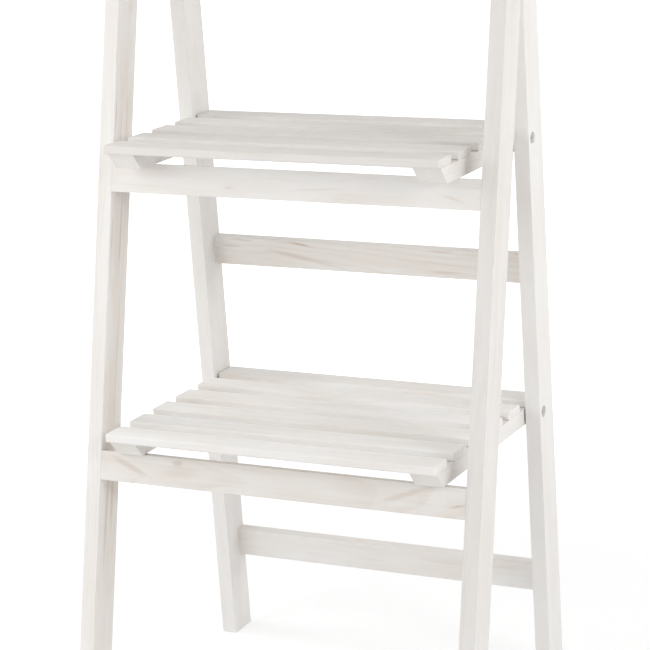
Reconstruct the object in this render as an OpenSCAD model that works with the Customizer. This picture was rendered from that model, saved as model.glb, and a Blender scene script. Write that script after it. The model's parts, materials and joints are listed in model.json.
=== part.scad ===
// Folding plant ladder stand: a front ladder frame and a rear frame that
// cross on two pivot bolts near the top, and slatted shelves that turn on
// screws in the rear legs and rest on the rails of the front frame.
// +X is to the right, -Y is the front, +Z is up. The origin is on the floor
// under the middle of the stand, with its shelves down and its legs open.

/* [Stand] */
// Overall width, across the front legs
stand_w = 400; // [340:5:480]
// Height of the pivot bolts above the floor
pivot_h = 1013; // [980:1:1080]
// Lean of the front legs from the vertical, in degrees
front_lean = 11.2; // [10.6:0.1:12]
// Lean of the rear legs from the vertical, in degrees
rear_lean = 3.6; // [3:0.1:4.4]

/* [Legs] */
// Thickness of a leg, across the stand
leg_t = 15; // [13:0.5:20]
// Depth of a leg, seen from the side
leg_d = 35; // [33:0.5:42]
// Gap between a front leg and the rear leg beside it
frame_gap = 3.5; // [3:0.1:6]
// Chamfer along the long edges of the legs, rails and slats
edge = 0.8; // [0.3:0.1:1.5]

/* [Rails] */
// Height of a rail
rail_h = 28; // [24:1:34]
// Thickness of a rail
rail_t = 13; // [11:0.5:15]
// Drop from the lowest shelf's top to the top of the rear rail under it
rear_rail_drop = 176; // [160:1:190]
// How much nearer to its own shelf each next rear rail lies
rear_rail_rise = 48; // [40:1:54]

/* [Shelves] */
// Height of the lowest shelf's top above the floor
shelf_h = 284; // [270:1:310]
// Height from one shelf to the next
shelf_pitch = 266; // [250:1:275]
// Width of a slat
slat_w = 29; // [26:0.5:31]
// Thickness of a slat
slat_t = 8; // [7:0.5:9.5]
// Gap between two slats
slat_gap = 16; // [12:0.5:18]
// Gap between a slat's end and the rear leg beside it
shelf_side_gap = 1; // [0.8:0.1:4]
// Gap left between a shelf and the front rail that it rests on
rest_gap = 0.2; // [0.1:0.1:1]

/* [Cleats] */
// Width of a cleat, across the stand
cleat_w = 27; // [24:0.5:32]
// Height of a cleat
cleat_h = 16; // [15:0.5:20]
// How far a cleat's outer face lies in from the slats' ends
cleat_inset = 0.5; // [0.2:0.1:4]
// How far a cleat's top lies back from the shelf's front edge
cleat_setback = 5; // [2:0.5:6]
// How far the sloping front end of a cleat runs back
cleat_slope = 14; // [8:0.5:14]
// Least distance from that slope to the head of a slat screw
slope_margin = 2; // [1:0.5:3]

/* [Top board] */
// Thickness of the board between the tops of the front legs
top_board_t = 13; // [11:0.5:18]
// Gap between the board and the rear legs' upper corners that stop under it
stop_gap = 0.3; // [0.2:0.1:1]

/* [Pivot bolts] */
// Diameter of a pivot bolt
bolt_d = 6; // [5:0.5:8]
// Diameter of a pivot bolt's domed head
bolt_head_d = 13; // [11:0.5:16]
// Thickness of a pivot bolt's head
bolt_head_t = 3.5; // [2.5:0.5:5]
// Outer diameter of the washer between two legs
washer_d = 18; // [14:0.5:22]
// Diameter of the cap nut
nut_d = 11; // [10:0.5:14]
// Length of the cap nut
nut_l = 9; // [8:0.5:12]

/* [Shelf pivots] */
// Diameter of a shelf's pivot screw
pin_d = 4; // [3:0.5:4.5]
// Depth from the top of a cleat to its pivot screw
pin_edge = 3; // [2.8:0.1:4]
// How far a pivot screw reaches into its cleat
pin_grip = 20; // [16:1:22]
// Diameter of a pivot screw's head
pin_head_d = 8.5; // [7.5:0.5:9]
// Thickness of a pivot screw's head
pin_head_t = 2.4; // [2:0.1:3]
// Diameter of the recess around the screw's head
recess_d = 11; // [10:0.5:12]
// Depth of the recess
recess_depth = 4; // [3.5:0.1:5]
// Gap left between the folded shelf and the rear rails
fold_gap = 1; // [0.5:0.1:2]

/* [Dowels and slat screws] */
// Diameter of a dowel
dowel_d = 6; // [5:0.5:7]
// How far a dowel reaches into a leg
dowel_in_leg = 10; // [8:0.5:11]
// How far a dowel reaches into a rail
dowel_in_rail = 14; // [10:1:18]
// Distance between the two dowels at the end of a rail
dowel_spacing = 14; // [12:0.5:16]
// Diameter of a slat screw
slat_screw_d = 3; // [2.5:0.5:3.5]
// Diameter of a slat screw's head
slat_screw_head_d = 5.5; // [5:0.5:6]
// Thickness of a slat screw's head
slat_screw_head_t = 1.6; // [1.2:0.1:2]
// How far a slat screw reaches into its slat
slat_screw_grip = 5; // [4:0.5:6]

/* [Fits] */
// Radial clearance of a pin that turns in its hole
running_gap = 0.05; // [0.02:0.01:0.1]
// Gap between two faces that turn past each other
face_gap = 0.3; // [0.2:0.1:0.5]

/* [Hidden] */
$fn = 48;
SCREW_FACETS = 24;      // around a slat screw
DOME_FACETS = 96;       // around the arc of a domed head
HEXAGON = 6;
LOW = 0;                // the shelves, from the lowest up
MID = LOW + 1;
TOP = MID + 1;
LEFT = -1;
RIGHT = 1;
lowest_slats = 6;       // slats in the lowest shelf; each next shelf has one fewer
nut_hex_share = 0.6;    // how much of a cap nut's length is hexagon
nut_dome_share = 0.84;  // diameter of its dome, as a share of the hexagon's
cut = 1;                // how far a cut runs past the face it opens
big = 3 * pivot_h;      // larger than the stand, for half-spaces

// Across the stand, in X
front_inner = stand_w / 2 - leg_t;
rear_outer = front_inner - frame_gap;
rear_inner = rear_outer - leg_t;
slat_l = 2 * (rear_inner - shelf_side_gap);
cleat_outer = slat_l / 2 - cleat_inset;
cleat_middle = cleat_outer - cleat_w / 2;

// Fore and aft, in Y: the feet stand evenly before and behind the origin
front_reach = pivot_h * tan(front_lean) + leg_d / 2 / cos(front_lean);
rear_reach = pivot_h * tan(rear_lean) + leg_d / 2 / cos(rear_lean);
pivot_y = (front_reach - rear_reach) / 2;

// Shelves
shelf_stack = slat_t + cleat_h;
slat_step = slat_w + slat_gap;
pin_drop = slat_t + pin_edge;
pin_back = leg_d - rail_t - fold_gap - pin_drop;
function shelf_top(i) = shelf_h + i * shelf_pitch;
function slats_in(i) = lowest_slats - i;
function shelf_depth(i) = slats_in(i) * slat_step - slat_gap;
function rear_face_y(z) = pivot_y + (pivot_h - z) * tan(rear_lean) + leg_d / 2 / cos(rear_lean);
function shelf_back_y(i) = rear_face_y(shelf_top(i));
function shelf_front_y(i) = shelf_back_y(i) - shelf_depth(i);
function slat_front_y(i, n) = shelf_front_y(i) + (n - 1) * slat_step;

// A shelf's pivot, pin_drop under its top and pin_back behind the rear leg's front face
function pin_z(i) = shelf_top(i) - pin_drop;
function pin_y(i) = pivot_y + (pivot_h - pin_z(i)) * tan(rear_lean) + (pin_back - leg_d / 2) / cos(rear_lean);

// Heights along each frame, measured up its legs from the pivot bolts
top_end = leg_d / 2;
board_under = top_end * (cos(front_lean + rear_lean) + sin(front_lean + rear_lean)) + stop_gap;
front_leg_top = board_under + top_board_t;
function front_rail_top(i) =
    (shelf_top(i) - shelf_stack - rest_gap - pivot_h - leg_d / 2 * sin(front_lean)) / cos(front_lean);
function rear_rail_top(i) =
    (shelf_top(i) - rear_rail_drop + i * rear_rail_rise - pivot_h + leg_d / 2 * sin(rear_lean))
    / cos(rear_lean);
function pin_up(i) = (pin_z(i) - pivot_h) * cos(rear_lean) - (pin_y(i) - pivot_y) * sin(rear_lean);

// Pivot bolts
washer_t = frame_gap - face_gap;
nut_hex_l = nut_l * nut_hex_share;
nut_thread_l = nut_l / 2;
bolt_l = 2 * leg_t + frame_gap + face_gap + nut_thread_l;

// ---- Frames of reference ----

// Stands its children in the front frame: origin on the pivot bolts, +Z up the legs
module in_front_frame() {
    translate([0, pivot_y, pivot_h]) rotate([-front_lean, 0, 0]) children();
}

// Stands its children in the rear frame: origin on the pivot bolts, +Z up the legs
module in_rear_frame() {
    translate([0, pivot_y, pivot_h]) rotate([rear_lean, 0, 0]) children();
}

// Everything above the floor
module above_floor() {
    translate([-big / 2, -big / 2, 0]) cube([big, big, big]);
}

// ---- Shapes used again and again ----

// Puts its children on one side of the stand: they are drawn for the right-hand side
module on_side(side) {
    mirror([side == LEFT ? 1 : 0, 0, 0]) children();
}

// A stick of wood, w by d in section and l long, with its long edges chamfered.
// It stands on its end, centred on Z.
module stick(w, d, l) {
    linear_extrude(height = l) polygon([
        [-w / 2 + edge, -d / 2], [w / 2 - edge, -d / 2],
        [w / 2, -d / 2 + edge], [w / 2, d / 2 - edge],
        [w / 2 - edge, d / 2], [-w / 2 + edge, d / 2],
        [-w / 2, d / 2 - edge], [-w / 2, -d / 2 + edge]
    ]);
}

// The same stick lying along X, w high and d deep, centred on the origin
module lying_stick(w, d, l) {
    translate([-l / 2, 0, 0]) rotate([0, 90, 0]) stick(w, d, l);
}

// A round bar or bore along X, from x = 0 towards +X
module round_x(d, l) {
    rotate([0, 90, 0]) cylinder(d = d, h = l);
}

// A domed disc on its flat face, d across and t high
module dome(d, t) {
    ball_r = (d * d / 4 + t * t) / (2 * t);
    rotate_extrude() intersection() {
        translate([0, t - ball_r]) circle(r = ball_r, $fn = DOME_FACETS);
        square([d, t]);
    }
}

// A round bar along X that ends inside a domed head, with the head's flat face at x = l
module headed_x(d, l, head_d, head_t) {
    round_x(d, l + head_t / 2);
    translate([l, 0, 0]) rotate([0, 90, 0]) dome(head_d, head_t);
}

// Puts its children at each of the two dowel heights of a rail's end
module at_dowels(top) {
    for (s = [-1, 1]) translate([0, 0, top - rail_h / 2 + s * dowel_spacing / 2]) children();
}

// ---- Front frame ----

front_rail_y = -leg_d / 2 + rail_t / 2;   // a front rail lies flush with the legs' front faces
board_dowel_y = dowel_spacing / 2;        // the top board's dowels lie side by side

// The dowels on one side of the front frame. They are tight, so they also cut their own bores.
module front_dowel_set(side) {
    on_side(side) translate([front_inner - dowel_in_rail, 0, 0]) {
        for (i = [LOW:TOP])
            at_dowels(front_rail_top(i))
                translate([0, front_rail_y, 0]) round_x(dowel_d, dowel_in_rail + dowel_in_leg);
        for (s = [-1, 1])
            translate([0, s * board_dowel_y, board_under + top_board_t / 2])
                round_x(dowel_d, dowel_in_rail + dowel_in_leg);
    }
}

module front_leg(side) {
    color("#e6e1dc") difference() {
        intersection() {
            in_front_frame()
                translate([side * (stand_w / 2 - leg_t / 2), 0, front_leg_top - big / 2])
                    stick(leg_t, leg_d, big / 2);
            above_floor();
        }
        in_front_frame() {
            front_dowel_set(side);
            translate([side * (front_inner + leg_t / 2) - leg_t / 2 - cut, 0, 0])
                round_x(bolt_d, leg_t + 2 * cut);
        }
    }
}

module front_rail(i) {
    color("#e3ddd6") in_front_frame() difference() {
        translate([0, front_rail_y, front_rail_top(i) - rail_h / 2])
            lying_stick(rail_h, rail_t, 2 * front_inner);
        front_dowel_set(LEFT);
        front_dowel_set(RIGHT);
    }
}

module top_board() {
    color("#e3ddd6") in_front_frame() difference() {
        translate([0, 0, board_under + top_board_t / 2])
            lying_stick(top_board_t, leg_d, 2 * front_inner);
        front_dowel_set(LEFT);
        front_dowel_set(RIGHT);
    }
}

module front_dowels() {
    color("#d8c3a0") in_front_frame() {
        front_dowel_set(LEFT);
        front_dowel_set(RIGHT);
    }
}

// ---- Pivot bolts: they are tight in the front legs, and the rear legs turn on them ----

module pivot_bolts() {
    color("#b9bcc0") in_front_frame() for (side = [LEFT, RIGHT])
        on_side(side) translate([stand_w / 2 - bolt_l, 0, 0])
            headed_x(bolt_d, bolt_l, bolt_head_d, bolt_head_t);
}

module pivot_washers() {
    color("#b9bcc0") in_front_frame() for (side = [LEFT, RIGHT])
        on_side(side) translate([front_inner - washer_t, 0, 0]) difference() {
            round_x(washer_d, washer_t);
            translate([-cut, 0, 0]) round_x(bolt_d, washer_t + 2 * cut);
        }
}

module pivot_cap_nuts() {
    color("#b9bcc0") in_front_frame() for (side = [LEFT, RIGHT])
        on_side(side) translate([rear_inner - face_gap, 0, 0]) rotate([0, -90, 0]) difference() {
            union() {
                cylinder(d = nut_d, h = nut_hex_l, $fn = HEXAGON);
                translate([0, 0, nut_hex_l]) dome(nut_d * nut_dome_share, nut_l - nut_hex_l);
            }
            translate([0, 0, -cut]) cylinder(d = bolt_d, h = nut_thread_l + cut);
        }
}

// ---- Rear frame ----

rear_rail_y = leg_d / 2 - rail_t / 2;     // a rear rail lies flush with the legs' rear faces

module rear_dowel_set(side) {
    on_side(side) translate([rear_inner - dowel_in_rail, rear_rail_y, 0])
        for (i = [LOW:TOP])
            at_dowels(rear_rail_top(i)) round_x(dowel_d, dowel_in_rail + dowel_in_leg);
}

// The top of a rear leg: its front corner is round, and its rear corner is the stop
module rear_leg_end() {
    difference() {
        translate([-leg_t, -leg_d, 0]) cube([2 * leg_t, leg_d, top_end + cut]);
        translate([-leg_t - cut, 0, 0]) round_x(2 * top_end, 2 * leg_t + 2 * cut);
    }
}

module rear_leg(side) {
    color("#e6e1dc") difference() {
        intersection() {
            in_rear_frame()
                translate([side * (rear_inner + leg_t / 2), 0, top_end - big / 2])
                    stick(leg_t, leg_d, big / 2);
            above_floor();
        }
        in_rear_frame() {
            translate([side * (rear_inner + leg_t / 2), 0, 0]) rear_leg_end();
            rear_dowel_set(side);
            translate([side * (rear_inner + leg_t / 2) - leg_t / 2 - cut, 0, 0])
                round_x(bolt_d + 2 * running_gap, leg_t + 2 * cut);
        }
        for (i = [LOW:TOP]) translate([0, pin_y(i), pin_z(i)]) on_side(side) {
            translate([rear_inner - cut, 0, 0]) round_x(pin_d + 2 * running_gap, leg_t + 2 * cut);
            translate([rear_outer - recess_depth, 0, 0]) round_x(recess_d, recess_depth + cut);
        }
    }
}

module rear_rail(i) {
    color("#e3ddd6") in_rear_frame() difference() {
        translate([0, rear_rail_y, rear_rail_top(i) - rail_h / 2])
            lying_stick(rail_h, rail_t, 2 * rear_inner);
        rear_dowel_set(LEFT);
        rear_dowel_set(RIGHT);
    }
}

module rear_dowels() {
    color("#d8c3a0") in_rear_frame() {
        rear_dowel_set(LEFT);
        rear_dowel_set(RIGHT);
    }
}

// ---- Shelves ----

// The middle of the slat screws under slat n of shelf i, kept on the flat of the cleat
function slat_screw_y(i, n) = max(slat_front_y(i, n) + slat_w / 2,
    shelf_front_y(i) + cleat_setback + cleat_slope + slat_screw_head_d / 2 + slope_margin);

// The screws that hold slat n, let in from under the cleats. As a cut they start lower by below.
module slat_screw_pair(i, n, below = 0) {
    for (side = [LEFT, RIGHT])
        translate([side * cleat_middle, slat_screw_y(i, n), shelf_top(i) - shelf_stack - below]) {
            cylinder(d = slat_screw_head_d, h = slat_screw_head_t + below, $fn = SCREW_FACETS);
            cylinder(d = slat_screw_d, h = cleat_h + slat_screw_grip + below, $fn = SCREW_FACETS);
        }
}

module slat(i, n) {
    color("#e9e5e0") difference() {
        translate([0, slat_front_y(i, n) + slat_w / 2, shelf_top(i) - slat_t / 2])
            lying_stick(slat_t, slat_w, slat_l);
        slat_screw_pair(i, n);
    }
}

module slat_screws(i) {
    color("#b9bcc0") for (n = [1:slats_in(i)]) slat_screw_pair(i, n);
}

// One pivot screw: its shank, which is fast in the cleat and turns in the leg, and its head
module pivot_screw(i, side) {
    start = cleat_outer - pin_grip;
    head = rear_outer - recess_depth + face_gap;
    translate([0, pin_y(i), pin_z(i)]) on_side(side) translate([start, 0, 0])
        headed_x(pin_d, head - start, pin_head_d, pin_head_t);
}

module pivot_screws(i) {
    color("#8f9296") for (side = [LEFT, RIGHT]) pivot_screw(i, side);
}

// A cleat: its front end slopes back from under the first slat
module cleat(i, side) {
    front = shelf_front_y(i) + cleat_setback;
    back = shelf_back_y(i);
    top = shelf_top(i) - slat_t;
    color("#ded8d1") difference() {
        translate([side * cleat_middle - cleat_w / 2, 0, 0]) rotate([90, 0, 90])
            linear_extrude(height = cleat_w) polygon([
                [front, top], [front + cleat_slope, top - cleat_h], [back, top - cleat_h], [back, top]
            ]);
        for (n = [1:slats_in(i)]) slat_screw_pair(i, n, cut);
        pivot_screw(i, side);
    }
}

front_leg(LEFT);  // front_leg_left
front_leg(RIGHT);  // front_leg_right
front_rail(LOW);  // lower_front_rail
front_rail(MID);  // middle_front_rail
front_rail(TOP);  // upper_front_rail
top_board();
front_dowels();
pivot_bolts();
pivot_washers();
pivot_cap_nuts();
rear_leg(LEFT);  // rear_leg_left
rear_leg(RIGHT);  // rear_leg_right
rear_rail(LOW);  // lower_rear_rail
rear_rail(MID);  // middle_rear_rail
rear_rail(TOP);  // upper_rear_rail
rear_dowels();
cleat(LOW, LEFT);  // lower_cleat_left
cleat(LOW, RIGHT);  // lower_cleat_right
slat(LOW, 1);  // lower_slat_1
slat(LOW, 2);  // lower_slat_2
slat(LOW, 3);  // lower_slat_3
slat(LOW, 4);  // lower_slat_4
slat(LOW, 5);  // lower_slat_5
slat(LOW, 6);  // lower_slat_6
slat_screws(LOW);  // lower_slat_screws
pivot_screws(LOW);  // lower_pivot_screws
cleat(MID, LEFT);  // middle_cleat_left
cleat(MID, RIGHT);  // middle_cleat_right
slat(MID, 1);  // middle_slat_1
slat(MID, 2);  // middle_slat_2
slat(MID, 3);  // middle_slat_3
slat(MID, 4);  // middle_slat_4
slat(MID, 5);  // middle_slat_5
slat_screws(MID);  // middle_slat_screws
pivot_screws(MID);  // middle_pivot_screws
cleat(TOP, LEFT);  // upper_cleat_left
cleat(TOP, RIGHT);  // upper_cleat_right
slat(TOP, 1);  // upper_slat_1
slat(TOP, 2);  // upper_slat_2
slat(TOP, 3);  // upper_slat_3
slat(TOP, 4);  // upper_slat_4
slat_screws(TOP);  // upper_slat_screws
pivot_screws(TOP);  // upper_pivot_screws
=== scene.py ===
"""Looks of the folding plant ladder stand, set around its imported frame.

Every board is drawn again where the frame has it, with eased edges and a whitewashed
wood whose grain follows that board. The screws, bolts, washers and nuts are drawn
again with their recesses, and get a zinc plate. Only the dowels, out of sight inside
the wood, keep the frame's own shape.
Everything is in metres: +X is to the right, -Y is the front and +Z is up.
"""

import functools
import json
import math

import bmesh
import bpy
import numpy as np
from bpy.props import FloatProperty, FloatVectorProperty, IntProperty, PointerProperty
from mathutils import Matrix, Vector


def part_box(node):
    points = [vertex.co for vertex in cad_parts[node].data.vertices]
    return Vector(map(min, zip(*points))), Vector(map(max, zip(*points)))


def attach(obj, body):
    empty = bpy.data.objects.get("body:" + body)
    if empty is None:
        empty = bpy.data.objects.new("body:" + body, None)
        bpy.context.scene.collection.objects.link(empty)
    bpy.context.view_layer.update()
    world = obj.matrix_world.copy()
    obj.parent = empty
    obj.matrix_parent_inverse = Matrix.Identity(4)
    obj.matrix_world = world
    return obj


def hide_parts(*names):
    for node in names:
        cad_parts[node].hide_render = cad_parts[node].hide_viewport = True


bl_info = {
    "name": "Plant Ladder Stand",
    "version": (1, 0, 0),
    "blender": (4, 5, 0),
    "location": "View3D > Sidebar > Plant Stand",
    "description": "Dresses a folding plant ladder stand in whitewashed wood and plated steel",
    "category": "Object",
}

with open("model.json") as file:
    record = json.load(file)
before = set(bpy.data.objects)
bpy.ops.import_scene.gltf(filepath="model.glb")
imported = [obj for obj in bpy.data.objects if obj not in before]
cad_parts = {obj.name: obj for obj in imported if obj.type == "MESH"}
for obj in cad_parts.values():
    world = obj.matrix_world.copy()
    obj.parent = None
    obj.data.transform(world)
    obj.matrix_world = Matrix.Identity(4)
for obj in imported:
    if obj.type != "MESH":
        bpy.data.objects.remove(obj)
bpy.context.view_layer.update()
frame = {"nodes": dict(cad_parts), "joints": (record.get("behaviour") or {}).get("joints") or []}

MM = 0.001
QUARTER_TURN = math.pi / 2
SHELVES = ("lower", "middle", "upper")
SIDES = {"left": -1, "right": 1}
JOINTS = {joint["name"]: joint for joint in frame["joints"]}
PIVOT = Vector(JOINTS["frame_fold"]["pos_m"])

# An edge that turns by more than the first is rounded, one that then still turns by more
# than the second is shaded sharp
ROUNDED_TURN = math.radians(30)
SHARP_TURN = math.radians(34)


def middle(node):
    """The middle of a node's box"""
    low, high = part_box(node)
    return (low + high) / 2


def spread(node):
    """The size of a node's box"""
    low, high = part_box(node)
    return high - low


def lean_of(lowest_rail, highest_rail):
    """How far a ladder frame leans from the vertical, as a turn about X"""
    rise = middle(highest_rail) - middle(lowest_rail)
    return -math.atan2(rise.y, rise.z)


FRONT_TURN = lean_of("lower_front_rail", "upper_front_rail")
REAR_TURN = lean_of("lower_rear_rail", "upper_rear_rail")
LEG_THICKNESS = spread("front_leg_right").x


def slat_nodes(shelf):
    """A shelf's slats, from front to back"""
    names = [node for node in frame["nodes"] if node.startswith(shelf + "_slat_")]
    return sorted(name for name in names if name[-1].isdigit())


def wooden_nodes():
    """Every board of the stand. A board's number is its place in this list"""
    names = [f"{ladder}_leg_{word}" for ladder in ("front", "rear") for word in SIDES]
    names += [f"{shelf}_{ladder}_rail" for ladder in ("front", "rear") for shelf in SHELVES] + ["top_board"]
    for shelf in SHELVES:
        names += slat_nodes(shelf) + [f"{shelf}_cleat_{word}" for word in SIDES]
    return names


BOARDS = wooden_nodes()

# How much more bare wood these boards show than the others, from -1 to 1
BARE_BOARDS = {
    "middle_rear_rail": 0.5, "front_leg_left": 0.3, "lower_front_rail": 0.6,
    "rear_leg_right": -0.8, "rear_leg_left": -0.5,
}

# How much duller the wash of these boards is than that of the others, from 0 to 1: partly the
# boards' own tone and partly painted shade, for boards that lie in deeper shade, as the middle shelf's
# slats under the upper shelf
DULL_AND_SHADED_BOARDS = {
    "front_leg_right": 0.55, "front_leg_left": 0.1, "rear_leg_left": 0.15, "rear_leg_right": 0.3,
    "lower_front_rail": 0.25, "middle_front_rail": 0.1,
}
# The middle shelf's slats are darker, partly by a browner tone and partly by painted shade under the upper
# shelf
DULL_AND_SHADED_BOARDS |= dict.fromkeys(slat_nodes("middle"), 0.65)
DULL_AND_SHADED_BOARDS |= dict.fromkeys([name for name in BOARDS if "_cleat_" in name], 0.25)

# The leg whose outer front corner is worn down to the wood
WORN_CORNER = "front_leg_right"

# Knots, resin streaks, darker patches and painted shadows of each board: where the mark
# lies along the board and across it from its middle, or on a leg from the pivot, its half
# length and half width, all in millimetres, its slant in degrees and how dark it is
RAIL_MARKS = {
    "lower_front_rail": (
        ((-103, 9.0), (6.5, 3.4), 0, 0.30),
        ((-98, 1.5), (22, 7.0), 8, 0.12),
        ((-154, 2.0), (25, 3.4), -22, 0.24),
        ((127, 3.0), (30, 3.2), 21, 0.20),
        ((178, -2.5), (9, 1.5), 14, 0.30),
    ),
    "middle_front_rail": (
        ((-62, -5.0), (7, 1.5), 0, 0.18),
        ((28, -2.5), (32, 1.4), 4, 0.15),
        ((159, -4.5), (14, 1.8), -14, 0.18),
    ),
    "middle_rear_rail": (
        ((-147, 5.5), (12, 1.6), 0, 0.28),
        ((-136, 12.0), (15, 1.4), -2, 0.26),
        ((-71, 11.0), (15, 1.4), -8, 0.44),
        ((-69, -3.0), (44, 2.6), -10, 0.24),
        ((80, 12.0), (18, 1.4), 0, 0.26),
        ((82, -8.5), (16, 1.8), 0, 0.22),
    ),
}
LEG_MARKS = {
    "front_leg_left": (
        ((-640, 2), (430, 17), 0, 0.13),
        ((-455, -14), (34, 1.2), 0, 0.30),
        ((-462, -4), (34, 0.9), 1, 0.22),
        ((-470, 6), (40, 1.2), 0, 0.14),
        ((-565, -13), (44, 1.2), 1, 0.26),
        ((-562, 2.5), (50, 1.8), 1, 0.28),
        ((-680, 5), (70, 1.6), 1, 0.18),
        ((-828, -3.5), (50, 2.8), 1, 0.26),
        ((-818, 6), (34, 2.8), 1, 0.20),
        # A painted shadow: this wide patch darkens the leg all round just under the lower rail, where the
        # rail shades it
        ((-806, 3), (26, 18), 0, 0.12),
    ),
}
SLAT_SHADOW_MARKS = {
    # A painted shadow on the lower part of slat 5's front by its right end, where the gap above the cleat
    # lies in shade
    "lower_slat_5": (
        ((159, -1.6), (5, 1.8), 0, 0.42),
    ),
}


# ---- What a user may change ----


def size_setting(name, default, description):
    """A length, with its default in millimetres"""
    return FloatProperty(name=name, description=description, default=default * MM, unit="LENGTH")


def colour_setting(name, default, description):
    return FloatVectorProperty(name=name, description=description, default=default, subtype="COLOR")


def power_setting(name, default, description):
    """A lamp's power, in watts"""
    return FloatProperty(name=name, description=description, default=default, unit="POWER")


class StandSizes(bpy.types.PropertyGroup):
    """Sizes of the details that the frame leaves plain"""

    leg_depth: size_setting("Leg depth", 35, "Depth of a leg, seen from the side")
    edge_radius: size_setting("Edge radius", 0.5, "Rounding of the long edges of legs, rails and cleats")
    slat_edge_radius: size_setting("Slat edge radius", 1.5, "Rounding of the long edges of the slats")
    slat_end_radius: size_setting("Slat end radius", 0.9, "Rounding of the ends of the slats")
    edge_steps: IntProperty(
        name="Edge steps", description="Number of facets across a rounded edge", default=4, min=2, max=6
    )
    ring_width: size_setting("Ring width", 4.6, "Width of a yearly ring in the wood")
    recess_across: size_setting("Recess across", 11, "Diameter of the recess around a shelf pivot screw")
    recess_depth: size_setting("Recess depth", 4, "Depth of the recess around a shelf pivot screw")
    pivot_screw: size_setting("Pivot screw", 4, "Diameter of a shelf pivot screw")
    pivot_bolt: size_setting("Pivot bolt", 6, "Diameter of a pivot bolt")
    slat_screw: size_setting("Slat screw", 3, "Diameter of a slat screw")
    slat_screw_head: size_setting("Slat screw head", 5.5, "Diameter of a slat screw's head")


class StandColours(bpy.types.PropertyGroup):
    """Colours of the wash, the wood under it, the steel and the floor"""

    wash: colour_setting("Wash", (0.83, 0.820, 0.804), "Whitewash where it covers")
    thin_wash: colour_setting("Thin wash", (0.80, 0.768, 0.734), "Whitewash where it is thin")
    # The dull wash is partly painted shade, on boards that lie in deeper shade
    dull_and_shaded_wash: colour_setting("Dull wash", (0.69, 0.667, 0.64), "Whitewash on the dullest boards")
    wood: colour_setting("Wood", (0.50, 0.375, 0.245), "Wood that shows through the wash")
    # Dark wood also colours the painted shadows among the marks
    dark_wood: colour_setting("Dark wood", (0.36, 0.22, 0.12), "Knots and resin streaks")
    dowel: colour_setting("Dowel", (0.72, 0.54, 0.34), "Bare dowels")
    zinc: colour_setting("Zinc", (0.62, 0.63, 0.64), "Plated bolts, washers and nuts")
    screw: colour_setting("Screw", (0.56, 0.56, 0.55), "Plated screws")
    floor: colour_setting("Floor", (0.86, 0.86, 0.86), "Floor and backdrop")


def sizes():
    return bpy.context.scene.stand_sizes


def colours():
    return bpy.context.scene.stand_colours


# ---- Node trees written as expressions ----


class Value:
    """A socket that can be added, multiplied and so on. Each operation adds its Math node"""

    def __init__(self, net, socket):
        self.net, self.socket = net, socket

    def __add__(self, other):
        return self.net.maths("ADD", self, other)

    def __sub__(self, other):
        return self.net.maths("SUBTRACT", self, other)

    def __rsub__(self, other):
        return self.net.maths("SUBTRACT", other, self)

    def __mul__(self, other):
        return self.net.maths("MULTIPLY", self, other)

    def __truediv__(self, other):
        return self.net.maths("DIVIDE", self, other)

    def __pow__(self, other):
        return self.net.maths("POWER", self, other)

    __radd__ = __add__
    __rmul__ = __mul__


class Net:
    """Writes one node tree, of a material, the world or Geometry Nodes"""

    def __init__(self, tree):
        self.tree = tree

    def node(self, kind, settings=None, values=None, out=0):
        """Adds a node: its settings first, then the values or links of its sockets"""
        made = self.tree.nodes.new(kind)
        for name, value in (settings or {}).items():
            setattr(made, name, value)
        for key, value in (values or {}).items():
            if isinstance(value, Value):
                self.tree.links.new(value.socket, made.inputs[key])
            else:
                made.inputs[key].default_value = value
        return Value(self, made.outputs[out]) if len(made.outputs) else made

    def also(self, value, out):
        """Another output of the node that value comes from"""
        return Value(self, value.socket.node.outputs[out])

    def maths(self, operation, *parts):
        return self.node("ShaderNodeMath", {"operation": operation}, dict(enumerate(parts)))

    def vector(self, operation, *parts):
        return self.node("ShaderNodeVectorMath", {"operation": operation}, dict(enumerate(parts)))

    def join(self, x, y, z):
        return self.node("ShaderNodeCombineXYZ", {}, {0: x, 1: y, 2: z})

    def split(self, vector):
        x = self.node("ShaderNodeSeparateXYZ", {}, {0: vector})
        return x, self.also(x, 1), self.also(x, 2)

    def step(self, value, low, high):
        """0 below low, 1 above high, and a smooth rise between them"""
        return self.node(
            "ShaderNodeMapRange",
            {"interpolation_type": "SMOOTHSTEP"},
            {"Value": value, "From Min": low, "From Max": high},
        )

    def blend(self, factor, first, second):
        """A colour from first to second"""
        first, second = (c if isinstance(c, Value) else (*c, 1) for c in (first, second))
        return self.node("ShaderNodeMix", {"data_type": "RGBA"}, {0: factor, 6: first, 7: second}, out=2)

    def attribute(self, name, out=2):
        """A mesh attribute, as a number or with out=1 as a vector"""
        return self.node("ShaderNodeAttribute", {"attribute_name": name}, out=out)

    def noise(self, place, detail=2.0, roughness=0.5):
        values = {"Vector": place, "Scale": 1.0, "Detail": detail, "Roughness": roughness}
        return self.node("ShaderNodeTexNoise", {}, values)

    def relief(self, strength, depth, height):
        """The normals of a surface whose height varies, by up to about depth"""
        return self.node("ShaderNodeBump", {}, {"Strength": strength, "Distance": depth, "Height": height})

    def store(self, geometry, name, value, kind="FLOAT", domain="POINT"):
        """The geometry, with value written on it as an attribute"""
        return self.node(
            "GeometryNodeStoreNamedAttribute",
            {"data_type": kind, "domain": domain},
            {"Geometry": geometry, "Name": name, "Value": value},
        )


def material_net(name):
    """The net of a new material, and a function that wires its surface and returns it"""
    material = bpy.data.materials.new(name)
    material.use_nodes = True
    material.node_tree.nodes.clear()
    net = Net(material.node_tree)

    def surface(shader):
        net.node("ShaderNodeOutputMaterial", {}, {"Surface": shader})
        return material

    return net, surface


# ---- Finishes ----


def on_board(net, board, name):
    """1 on the board of that name, 0 on the others"""
    return net.maths("COMPARE", board, BOARDS.index(name), 0.1)


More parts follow.
